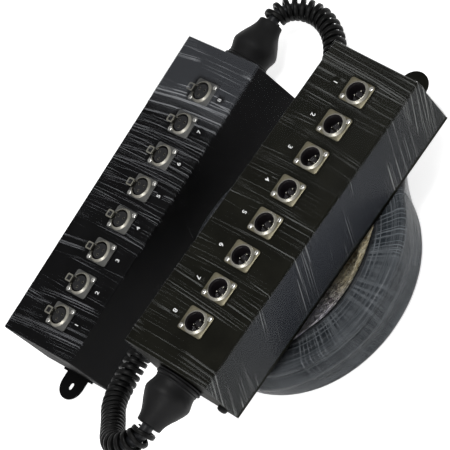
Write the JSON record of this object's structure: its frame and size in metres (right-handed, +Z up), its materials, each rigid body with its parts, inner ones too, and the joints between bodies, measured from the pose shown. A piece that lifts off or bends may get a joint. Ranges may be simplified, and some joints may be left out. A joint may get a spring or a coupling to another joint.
{
  "type": "stage box snake",
  "caption": "Stage box with female sockets and release tabs, joined by a coiled multicore cable with spiral bend protectors to a desk box with male sockets.",
  "frame": {"origin": "centre of the stage box's base plate, on the surface that it stands on", "axes": "+Z up, through the socket panel; +Y along the stage box towards its cable entry; +X towards the coil and the desk box"},
  "size_m": [0.3961, 0.5174, 0.1591],
  "materials": {
    "black_paint": "black paint on folded sheet steel, satin, under clear stretch film",
    "nickel": "satin nickel plate on die-cast zinc, warm grey",
    "black_plastic": "moulded black plastic, matt",
    "rubber": "matt black rubber with a soft mould grain",
    "cable_jacket": "smooth black PVC jacket",
    "spiral_plastic": "black plastic band, slight sheen"
  },
  "bodies": {
    "root": {"stage_cover": "black_paint", "stage_base_plate": "black_paint", "stage_gland": "black_plastic", "stage_gland_nut": "black_plastic", "stage_boot": "rubber", "stage_loom": "cable_jacket", "desk_cover": "black_paint", "desk_base_plate": "black_paint", "desk_gland": "black_plastic", "desk_gland_nut": "black_plastic", "desk_boot": "rubber", "desk_loom": "cable_jacket", "stage_socket_shell_1": "nickel", "stage_socket_insert_1": "black_plastic", "desk_socket_shell_1": "nickel", "desk_socket_insert_1": "black_plastic", "stage_socket_shell_2": "nickel", "stage_socket_insert_2": "black_plastic", "desk_socket_shell_2": "nickel", "desk_socket_insert_2": "black_plastic", "stage_socket_shell_3": "nickel", "stage_socket_insert_3": "black_plastic", "desk_socket_shell_3": "nickel", "desk_socket_insert_3": "black_plastic", "stage_socket_shell_4": "nickel", "stage_socket_insert_4": "black_plastic", "desk_socket_shell_4": "nickel", "desk_socket_insert_4": "black_plastic", "stage_socket_shell_5": "nickel", "stage_socket_insert_5": "black_plastic", "desk_socket_shell_5": "nickel", "desk_socket_insert_5": "black_plastic", "stage_socket_shell_6": "nickel", "stage_socket_insert_6": "black_plastic", "desk_socket_shell_6": "nickel", "desk_socket_insert_6": "black_plastic", "stage_socket_shell_7": "nickel", "stage_socket_insert_7": "black_plastic", "desk_socket_shell_7": "nickel", "desk_socket_insert_7": "black_plastic", "stage_socket_shell_8": "nickel", "stage_socket_insert_8": "black_plastic", "desk_socket_shell_8": "nickel", "desk_socket_insert_8": "black_plastic", "cable_coil": "cable_jacket", "stage_lead": "cable_jacket", "desk_lead": "cable_jacket", "stage_spiral": "spiral_plastic", "desk_spiral": "spiral_plastic"},
    "release_tab_1": {"stage_latch_1": "nickel"},
    "release_tab_2": {"stage_latch_2": "nickel"},
    "release_tab_3": {"stage_latch_3": "nickel"},
    "release_tab_4": {"stage_latch_4": "nickel"},
    "release_tab_5": {"stage_latch_5": "nickel"},
    "release_tab_6": {"stage_latch_6": "nickel"},
    "release_tab_7": {"stage_latch_7": "nickel"},
    "release_tab_8": {"stage_latch_8": "nickel"}
  },
  "joints": [
    {"name": "release_tab_1_push", "type": "slide", "parent": "root", "child": "release_tab_1", "axis": [0, 0, -1], "range_m": [0, 0.0016], "stiffness_N_per_m": 1200, "springref_m": -0.0004},
    {"name": "release_tab_2_push", "type": "slide", "parent": "root", "child": "release_tab_2", "axis": [0, 0, -1], "range_m": [0, 0.0016], "stiffness_N_per_m": 1200, "springref_m": -0.0004},
    {"name": "release_tab_3_push", "type": "slide", "parent": "root", "child": "release_tab_3", "axis": [0, 0, -1], "range_m": [0, 0.0016], "stiffness_N_per_m": 1200, "springref_m": -0.0004},
    {"name": "release_tab_4_push", "type": "slide", "parent": "root", "child": "release_tab_4", "axis": [0, 0, -1], "range_m": [0, 0.0016], "stiffness_N_per_m": 1200, "springref_m": -0.0004},
    {"name": "release_tab_5_push", "type": "slide", "parent": "root", "child": "release_tab_5", "axis": [0, 0, -1], "range_m": [0, 0.0016], "stiffness_N_per_m": 1200, "springref_m": -0.0004},
    {"name": "release_tab_6_push", "type": "slide", "parent": "root", "child": "release_tab_6", "axis": [0, 0, -1], "range_m": [0, 0.0016], "stiffness_N_per_m": 1200, "springref_m": -0.0004},
    {"name": "release_tab_7_push", "type": "slide", "parent": "root", "child": "release_tab_7", "axis": [0, 0, -1], "range_m": [0, 0.0016], "stiffness_N_per_m": 1200, "springref_m": -0.0004},
    {"name": "release_tab_8_push", "type": "slide", "parent": "root", "child": "release_tab_8", "axis": [0, 0, -1], "range_m": [0, 0.0016], "stiffness_N_per_m": 1200, "springref_m": -0.0004}
  ]
}
